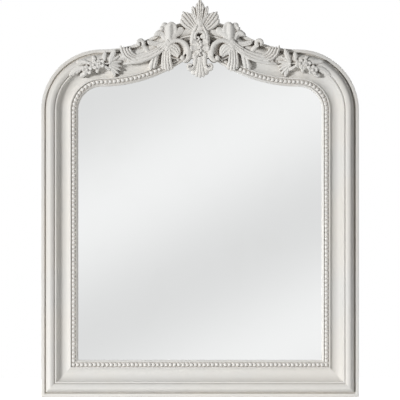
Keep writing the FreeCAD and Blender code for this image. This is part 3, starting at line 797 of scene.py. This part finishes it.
def carveCartouche():
    c = cartouche
    forms = [shieldForm(crest, c["edge"], c["pocket"], back=20.0)]
    forms += [leafForm(crest, row, back=20.0, neck=0.9, drop=0.5, power=2.4) for row in bothSides(c["hooks"])]
    forms.append(scrollForm(crest, *c["rim"], back=22.0))
    forms.append(scrollForm(crest, *c["curl"], back=22.0))
    forms.append(ballForm(crest, *c["bud"]))
    (x, z), radii, halves, rises, start, sweep = c["volute"]
    forms.append(scrollForm(crest, (x, z), radii, halves, rises, start, sweep, back=17.0))
    forms.append(scrollForm(crest, (-x, z), radii, halves, rises, 180 - start, -sweep, back=17.0))
    forms += [leafForm(crest, row, back=18.0, neck=0.95, drop=0.6, power=2.2) for row in bothSides(c["stems"])]
    forms.append(fanForm(crest, *c["fan"], rises=(4, -9), flutes=5, depth=2.8, back=17.0, bulge=3.0))
    for row in bothSides(c["petals"]):
        forms.append(leafForm(crest, row, back=22.0, neck=0.5, drop=0.55, power=1.8, vein=1.6, curl=2.0))
    forms += [ballForm(crest, (x, z), radius, c["berryRise"]) for x, z, radius in c["berries"]]
    return cast(forms, "cartouche")


wing = {  # leaves as in the cartouche, then fans between three curves, bands and balls
    "plates": [((82, -62), (106, -60), (150, -90), 10, -3, -3),
               ((140, -94), (190, -114), (226, -104), 14, -4, -4)],
    "ear": ((82, -60), (79, -34), (82, -5), 17.0, 11, 14),
    "edges": [((93, -40), (95, -3), (107, -20), 8.5, 4, 6), ((146, -94), (151, -80), (160, -74), 8, 2, 6)],
    "fold": ((98, -58), (104, -24), (129, -45), 11.0, 4, 7), "foldTeeth": 3,
    "horn": ((80, -50), (60, -28), (44, -27), 11, 8, 2),
    "flap": [[(104, -63), (124, -60), (147, -57)], [(107, -70), (130, -67), (150, -60)],
             [(112, -77), (134, -76), (147, -68)]],
    "stem": [[(93, -54), (128, -92), (188, -95)], [(88, -59), (134, -108), (206, -113)],
             [(83, -66), (131, -129), (222, -126)]],
    "shell": [[(158, -96), (188, -102), (196, -77)], [(150, -106), (206, -116), (211, -75)],
              [(166, -121), (227, -123), (228, -69)]],
    "apron": [[(82, -90), (82, -112), (73, -133)], [(92, -74), (99, -108), (92, -144)],
              [(101, -72), (112, -100), (110, -133)]],
    "finger": [[(109, -79), (117, -100), (121, -129)], [(115, -81), (131, -104), (134, -140)],
               [(121, -84), (141, -106), (148, -135)]],
    "wave": [[(56, -100), (50, -76), (68, -66)], [(60, -102), (66, -78), (87, -74)],
             [(63, -107), (82, -97), (95, -91)]],
    "scroll": ((64.5, -85), (34, 27, 30), (8.0, 5.0), (13, 12), 212, -217), "hollow": ((65, -86), 25, 3, 15),
    "crook": ((169, -65), (9.8, 4.5), (7.2, 4.5), (6, 12), 255, -345),
    "knob": ((108, -23), 6.2, 2.0), "scrollEnd": ((49.5, -107), 7.2, 8.5)}


def carveWing():
    w = wing
    forms = [leafForm(crest, row, back=28.0, neck=0.7, drop=0.2) for row in w["plates"]]
    forms.append(leafForm(crest, w["ear"], neck=0.85, drop=0.45, power=2.4, hollow=(6.0, -0.35, 0.4)))
    forms += [leafForm(crest, row, neck=0.9, drop=0.6, power=2.2) for row in w["edges"]]
    forms.append(ballForm(crest, *w["knob"]))
    forms.append(leafForm(crest, w["fold"], neck=0.85, drop=0.7, power=1.8, vein=2.0, teeth=w["foldTeeth"]))
    forms.append(fanForm(crest, *w["flap"], rises=(4, 7), flutes=3, depth=3.6, scallop=0.08, bulge=1.5))
    forms.append(leafForm(crest, w["horn"], back=28.0, neck=0.9, drop=0.35, power=2.2))
    forms.append(fanForm(crest, *w["stem"], rises=(11, 3), flutes=3, depth=4.0, back=26.0, scallop=0.03, bulge=1.5,
                         keen=0.6))
    forms.append(fanForm(crest, *w["shell"], rises=(3, 11), flutes=4, depth=5.5, back=28.0, scallop=0.12, bulge=1.5,
                         keen=0.8))
    forms.append(fanForm(crest, *w["apron"], rises=(11, -9), flutes=4, depth=4.2, back=19.0, scallop=0.08, keen=0.7))
    forms.append(fanForm(crest, *w["finger"], rises=(11, -8), flutes=2, depth=4.5, back=19.0, bulge=2.5, keen=0.7))
    # the C-scroll: a rim, a deep hollow, and a wave of leaf that turns over in it
    forms.append(scrollForm(crest, *w["scroll"], back=20.0, drop=0.75))
    forms.append(dishForm(crest, *w["hollow"], back=20.0))
    forms.append(fanForm(crest, *w["wave"], rises=(4, 9), flutes=4, depth=3.0, back=20.0, scallop=0.0, bulge=4.0,
                         keen=0.6))
    forms.append(ballForm(crest, *w["scrollEnd"]))
    forms.append(scrollForm(crest, *w["crook"], drop=0.8))  # before the shell
    return cast(forms, "wingRight")


shoulder = (outline["shoulderX"], outline["shoulderTop"])
spray = {
    "leaves": [  # root, bend, tip, half width, rise at root and tip, teeth
        ((-22, -42), (-29, -22), (-38, 1), 9, 9, 6, 4), ((-22, -44), (-32, -54), (-37, -78), 7.5, 7, -8, 4),
        ((-9, -33), (-5, -19), (-12, -8), 7.5, 8, 5, 4), ((-4, -44), (-15, -53), (-25, -59), 5, 8, 2, 3),
        ((33, -42), (50, -33), (72, -36), 8.5, 8, 4, 4), ((45, -52), (70, -52), (92, -75), 11, 8, 2, 5),
        ((38, -59), (50, -70), (62, -77), 8.5, 6, -1, 4), ((16, -39), (19, -27), (27, -19), 5.5, 7, 4, 3),
        ((10, -48), (13, -59), (13, -67), 5.5, 6, -2, 3)],
    "fingers": [((-24, -36), (-38, -28), (-50, -19), 4.8, 8, 4), ((-23, -40), (-42, -36), (-58, -34), 4.4, 8, 3),
                ((-22, -43), (-42, -43), (-57, -48), 4.2, 7, 0), ((-22, -45), (-40, -48), (-54, -60), 4.2, 7, -3),
                ((-21, -46), (-36, -54), (-48, -70), 4.4, 6, -6)],
    "stem": ((-20, -41), (14, -36), (60, -60), 5, 4, 3),
    "flowers": [(5, -41, 0), (23, -44, 25), (41, -59, 10)], "flowerRadius": 14.0, "flowerRise": 12}


def carveSpray():
    s = spray
    forms = [leafForm(shoulder, s["stem"])]
    for *row, teeth in s["leaves"]:
        forms.append(leafForm(shoulder, row, back=22.0, neck=0.45, drop=0.5, power=1.6, vein=2.0, teeth=teeth))
    forms += [leafForm(shoulder, row, back=22.0, neck=0.6, drop=1.1, power=1.4) for row in s["fingers"]]
    for x, z, turn in s["flowers"]:
        forms += flowerForms(shoulder, (x, z), s["flowerRadius"], s["flowerRise"], turn=turn, back=28.0)
    return cast(forms, "sprayRight")


finished(carvePalmette(), carvingPaint, "frame", ["crest_palmette"], 0)
finished(carveCartouche(), carvingPaint, "frame", ["crest_cartouche"], 0)
for carve, word in ((carveWing, "wing"), (carveSpray, "spray")):
    right = carve()
    for piece, side in ((mirroredCopy(right, word + "Left"), "left_"), (right, "right_")):
        finished(piece, carvingPaint, "frame", [side + word], 0)
print("castings carved")


# glass, board and the hidden pieces keep their CAD shape
for node, material in (("mirror_glass", silver), ("backing_board", boardFinish), ("mitre_splines", beech),
                       ("head_splines", beech), ("setting_blocks", rubber)):
    cadNodes[node].data.materials.clear()
    cadNodes[node].data.materials.append(material)
print("glass and board finished")


# hardware on the back: turn buttons, straps with a rolled eye, wire rings and screws
def pickEdges(piece, test):  # edges chosen by where their two ends lie, in mm
    editing(piece)
    bpy.ops.mesh.select_mode(type="EDGE")
    bpy.ops.mesh.select_all(action="DESELECT")
    bpy.ops.object.mode_set(mode="OBJECT")
    spots = [v.co / mm for v in piece.data.vertices]
    for edge in piece.data.edges:
        edge.select = test(spots[edge.vertices[0]], spots[edge.vertices[1]])
    bpy.ops.object.mode_set(mode="EDIT")


button = {"heel": 6.0, "reach": 25.0, "width": 12.0, "front": -5.8, "back": -4.3, "toe": 0.82,
          "heelRound": 5.6, "toeRound": 3.6, "arris": 0.35,
          "places": [((372.0, 240.0), (-1, 0)), ((372.0, 620.0), (-1, 0)), ((190.0, 78.0), (0, 1)),
                     ((185.973, 918.301), (-0.2419, -0.9703))]}


def turnButtons():
    b = button
    clearSelection()
    bpy.ops.mesh.primitive_cube_add(size=1)
    plate = bpy.context.object
    plate.scale = Vector((b["heel"] + b["reach"], b["back"] - b["front"], b["width"])) * mm
    plate.location = Vector(((b["reach"] - b["heel"]) / 2, (b["front"] + b["back"]) / 2, 0)) * mm
    bpy.ops.object.transform_apply(location=True, rotation=True, scale=True)
    for vertex in plate.data.vertices:  # the toe is a little narrower
        if vertex.co.x > 0.01:
            vertex.co.z *= b["toe"]
    pickEdges(plate, lambda p, q: abs(p.y - q.y) > 1 and p.x < 0)
    bpy.ops.mesh.bevel(offset=b["heelRound"] * mm, segments=8)
    pickEdges(plate, lambda p, q: abs(p.y - q.y) > 1 and p.x > 20)
    bpy.ops.mesh.bevel(offset=b["toeRound"] * mm, segments=6)
    pickEdges(plate, lambda p, q: p.y > b["back"] - 0.01 and q.y > b["back"] - 0.01)
    bpy.ops.mesh.bevel(offset=b["arris"] * mm, segments=3)
    bpy.ops.object.mode_set(mode="OBJECT")
    tidied(plate)
    for number, ((x, z), (dx, dz)) in enumerate(b["places"], 1):
        place = Matrix.Translation(Vector((x, 0, z)) * mm) @ Matrix.Rotation(math.atan2(-dz, dx), 4, "Y")
        right = copied(plate, "turnButtonRight%d" % number, place)
        left = mirroredCopy(right, "turnButtonLeft%d" % number)
        for piece, node in ((right, "turn_button_right_%d" % number), (left, "turn_button_left_%d" % number)):
            finished(piece, brass, node, [node], 30)
    bpy.data.objects.remove(plate)


hanger = {"x": 372.0, "z": 770.0, "eye": 3.04, "inner": 1.46, "outer": 2.66, "width": 16.0, "length": 46.0,
          "strap": (4.8, 6.0), "roll": (80, -215), "tongue": 2.2, "endRound": 5.0, "wire": 1.4,
          "bar": 9.0, "corner": 3.0, "leg": 5.0}


def hangerStrap():
    h = hanger
    thin, thick = h["strap"]
    begin, end = h["roll"]
    line = [(-h["length"], thin), (-h["length"], thick), (0.0, thick)]  # z across, height up
    line += quarterArc((0, h["eye"]), h["outer"], h["outer"], begin, end, 40)
    line += quarterArc((0, h["eye"]), h["inner"], h["inner"], end, begin, 40)
    line.append((-h["tongue"], thin))
    strap = ringOf(line, h["x"] - h["width"] / 2, h["z"], 0, 1, "hangerStrapRight")
    runOn(h["width"], 0)
    capped(strap)
    low = h["z"] - h["length"] + 1
    pickEdges(strap, lambda p, q: abs(p.y - q.y) > 1 and p.z < low and q.z < low)
    bpy.ops.mesh.bevel(offset=h["endRound"] * mm, segments=6)
    bpy.ops.object.mode_set(mode="OBJECT")
    tidied(strap)
    return strap


def hangerRing():
    h = hanger
    x, z, corner = h["x"], h["z"], h["corner"]
    line = quarterArc((0, h["eye"]), h["wire"], h["wire"], 0, 360, 14)[:-1]
    ring = ringOf(line, x - h["bar"], z, 0, 1, "hangerRingRight")
    runOn(2 * h["bar"], 0)
    turnOn(x + h["bar"], z - corner, -90, 6)
    runOn(0, -h["leg"])
    turnOn(x, z - corner - h["leg"], -180, 24)
    runOn(0, h["leg"])
    turnOn(x - h["bar"], z - corner, -90, 6)
    bpy.ops.object.mode_set(mode="OBJECT")
    tidied(ring)
    return ring


screw = {"radius": 3.3, "height": 1.6, "dome": 0.9, "slot": (0.9, 0.75), "strap": [(372.0, 754.0), (372.0, 734.0)]}


def backScrews():
    s = screw
    clearSelection()
    bpy.ops.mesh.primitive_cylinder_add(vertices=28, radius=s["radius"] * mm, depth=s["height"] * mm,
                                        location=(0, s["height"] / 2 * mm, 0), rotation=(math.radians(90), 0, 0))
    head = bpy.context.object
    bpy.ops.object.transform_apply(location=True, rotation=True, scale=True)
    pickEdges(head, lambda p, q: p.y > s["height"] - 0.01 and q.y > s["height"] - 0.01)
    bpy.ops.mesh.bevel(offset=s["dome"] * mm, segments=4)
    bpy.ops.object.mode_set(mode="OBJECT")
    clearSelection()
    bpy.ops.mesh.primitive_cube_add(size=1, location=(0, s["height"] * mm, 0))
    blade = bpy.context.object
    blade.scale = Vector((3 * s["radius"], 2 * s["slot"][1], s["slot"][0])) * mm
    bpy.ops.object.transform_apply(location=True, rotation=True, scale=True)
    modified(head, "BOOLEAN", operation="DIFFERENCE", object=blade, solver="EXACT")
    bpy.data.objects.remove(blade)
    tidied(head)
    # place, level and the turn of each slot
    places = [(spot, button["back"], 25 * i) for i, (spot, way) in enumerate(button["places"])]
    places += [(spot, -hanger["strap"][0], 40 + 70 * i) for i, spot in enumerate(s["strap"])]
    for i, ((x, z), y, turn) in enumerate(places, 1):
        for side, word in ((1, "Right"), (-1, "Left")):
            place = Matrix.Translation(Vector((side * x, y, z)) * mm)
            place = place @ Matrix.Rotation(math.radians(side * turn), 4, "Y")
            finished(copied(head, "screw%s%d" % (word, i), place), steel, "frame", (), 30)
    bpy.data.objects.remove(head)


turnButtons()
for piece, word, node in ((hangerStrap(), "hangerStrap", "hanger_plate"),
                          (hangerRing(), "hangerRing", "hanger_ring")):
    for side, twin in (("left", mirroredCopy(piece, word + "Left")), ("right", piece)):
        body = "frame" if word == "hangerStrap" else node + "_" + side
        finished(twin, zinc, body, [node + "_" + side], 40)
backScrews()
print("hardware fitted")


# studio: floor, world, lamps and camera
studio = {"floor": (0.95, -1.5, 0.9), "bounce": 0.1, "floorSeen": 0.86, "floorMirrored": 0.5, "ambient": 0.13,
          "glassLow": 0.865, "glassSwing": 0.085, "bandTilt": 0.533, "bandCount": 83.0, "bandPhase": 1.168,
          "bandReach": (0.006, 0.02), "camera": (0.0, -9.0, 0.5585), "lens": 285.0,
          "lamps": {  # place, size, power and aim
              "keyLamp": ((-6.2, -6.4, 1.4), 1.6, 572.0, (0.0, 0.0, 0.75)),
              "fillLamp": ((6.0, -2.4, 1.2), 2.0, 30.0, (0.0, 0.0, 0.5)),
              "rearLamp": ((1.8, 5.0, 2.4), 2.5, 230.0, (0.0, 0.0, 0.5))}}


def grey(level):
    return (level, level, level, 1.0)


def buildFloor():
    clearSelection()
    reach, front, back = studio["floor"]
    bpy.ops.mesh.primitive_plane_add(size=2, location=(0, (front + back) / 2, -0.0005))
    floor = bpy.context.object
    floor.name = "floor"
    floor.scale = (reach, (back - front) / 2, 1)
    bpy.ops.object.transform_apply(location=True, rotation=True, scale=True)
    f = Finish(bpy.data.materials.new("paleFloor"))
    grain = f.noise(40.0, 3.0)
    seen = f.node("LightPath", None, None, "Is Camera Ray")
    shiny = f.node("LightPath", None, None, "Is Glossy Ray")
    plain = f.node("BsdfDiffuse", None, {"Color": f.mix(grain, (0.8, 0.8, 0.8, 1), (0.84, 0.84, 0.84, 1))})
    level = f.mix(shiny, grey(studio["bounce"]), grey(studio["floorMirrored"]))
    glow = f.node("Emission", None, {"Color": f.mix(seen, level, grey(studio["floorSeen"])), "Strength": 1.0})
    floor.data.materials.append(f.close(f.node("AddShader", None, {0: plain, 1: glow})))


def buildWorld():
    world = bpy.data.worlds.new("studioWorld")
    bpy.context.scene.world = world
    f = Finish(world)
    # a soft room in front of the glass: wide pale bands across a diagonal, seen only in reflections
    way = f.node("SeparateXYZ", None, {0: f.node("TexCoord", None, None, "Generated")}, 0)
    up = f.node("SeparateXYZ", None, {0: f.node("TexCoord", None, None, "Generated")}, 2)
    across = (way * studio["bandTilt"] - up) * studio["bandCount"] + studio["bandPhase"]
    ahead = 1 - (way * way + up * up).ease(*studio["bandReach"])
    band = f.node("Math", {"operation": "COSINE"}, {0: across}) * ahead
    low, swing = studio["glassLow"], studio["glassSwing"]
    tone = f.mix(band * 0.5 + 0.5, grey(low - swing), grey(low + swing))
    seen = f.node("LightPath", None, None, "Is Camera Ray")
    shiny = f.node("LightPath", None, None, "Is Glossy Ray")
    around = f.mix(shiny, grey(studio["ambient"]), tone)
    f.close(f.node("Background", None, {"Color": f.mix(seen, around, grey(1.0)), "Strength": 1.0}))


def lamp(name, place, size, power, aim):
    light = bpy.data.lights.new(name, "AREA")
    light.shape = "DISK"
    light.size = size
    light.energy = power
    holder = bpy.data.objects.new(name, light)
    bpy.context.scene.collection.objects.link(holder)
    holder.location = place
    holder.visible_camera = False
    holder.rotation_euler = (Vector(aim) - Vector(place)).to_track_quat("-Z", "Y").to_euler()


def buildCamera():
    lens = bpy.data.cameras.new("frontCamera")
    lens.sensor_width = 36.0
    lens.lens = studio["lens"]
    camera = bpy.data.objects.new("frontCamera", lens)
    bpy.context.scene.collection.objects.link(camera)
    camera.location = studio["camera"]
    camera.rotation_euler = (math.radians(90), 0, 0)
    bpy.context.scene.camera = camera


buildFloor()
buildWorld()
for name, settings in studio["lamps"].items():
    lamp(name, *settings)
buildCamera()
bpy.context.scene.view_settings.view_transform = "Standard"
print("studio lit")
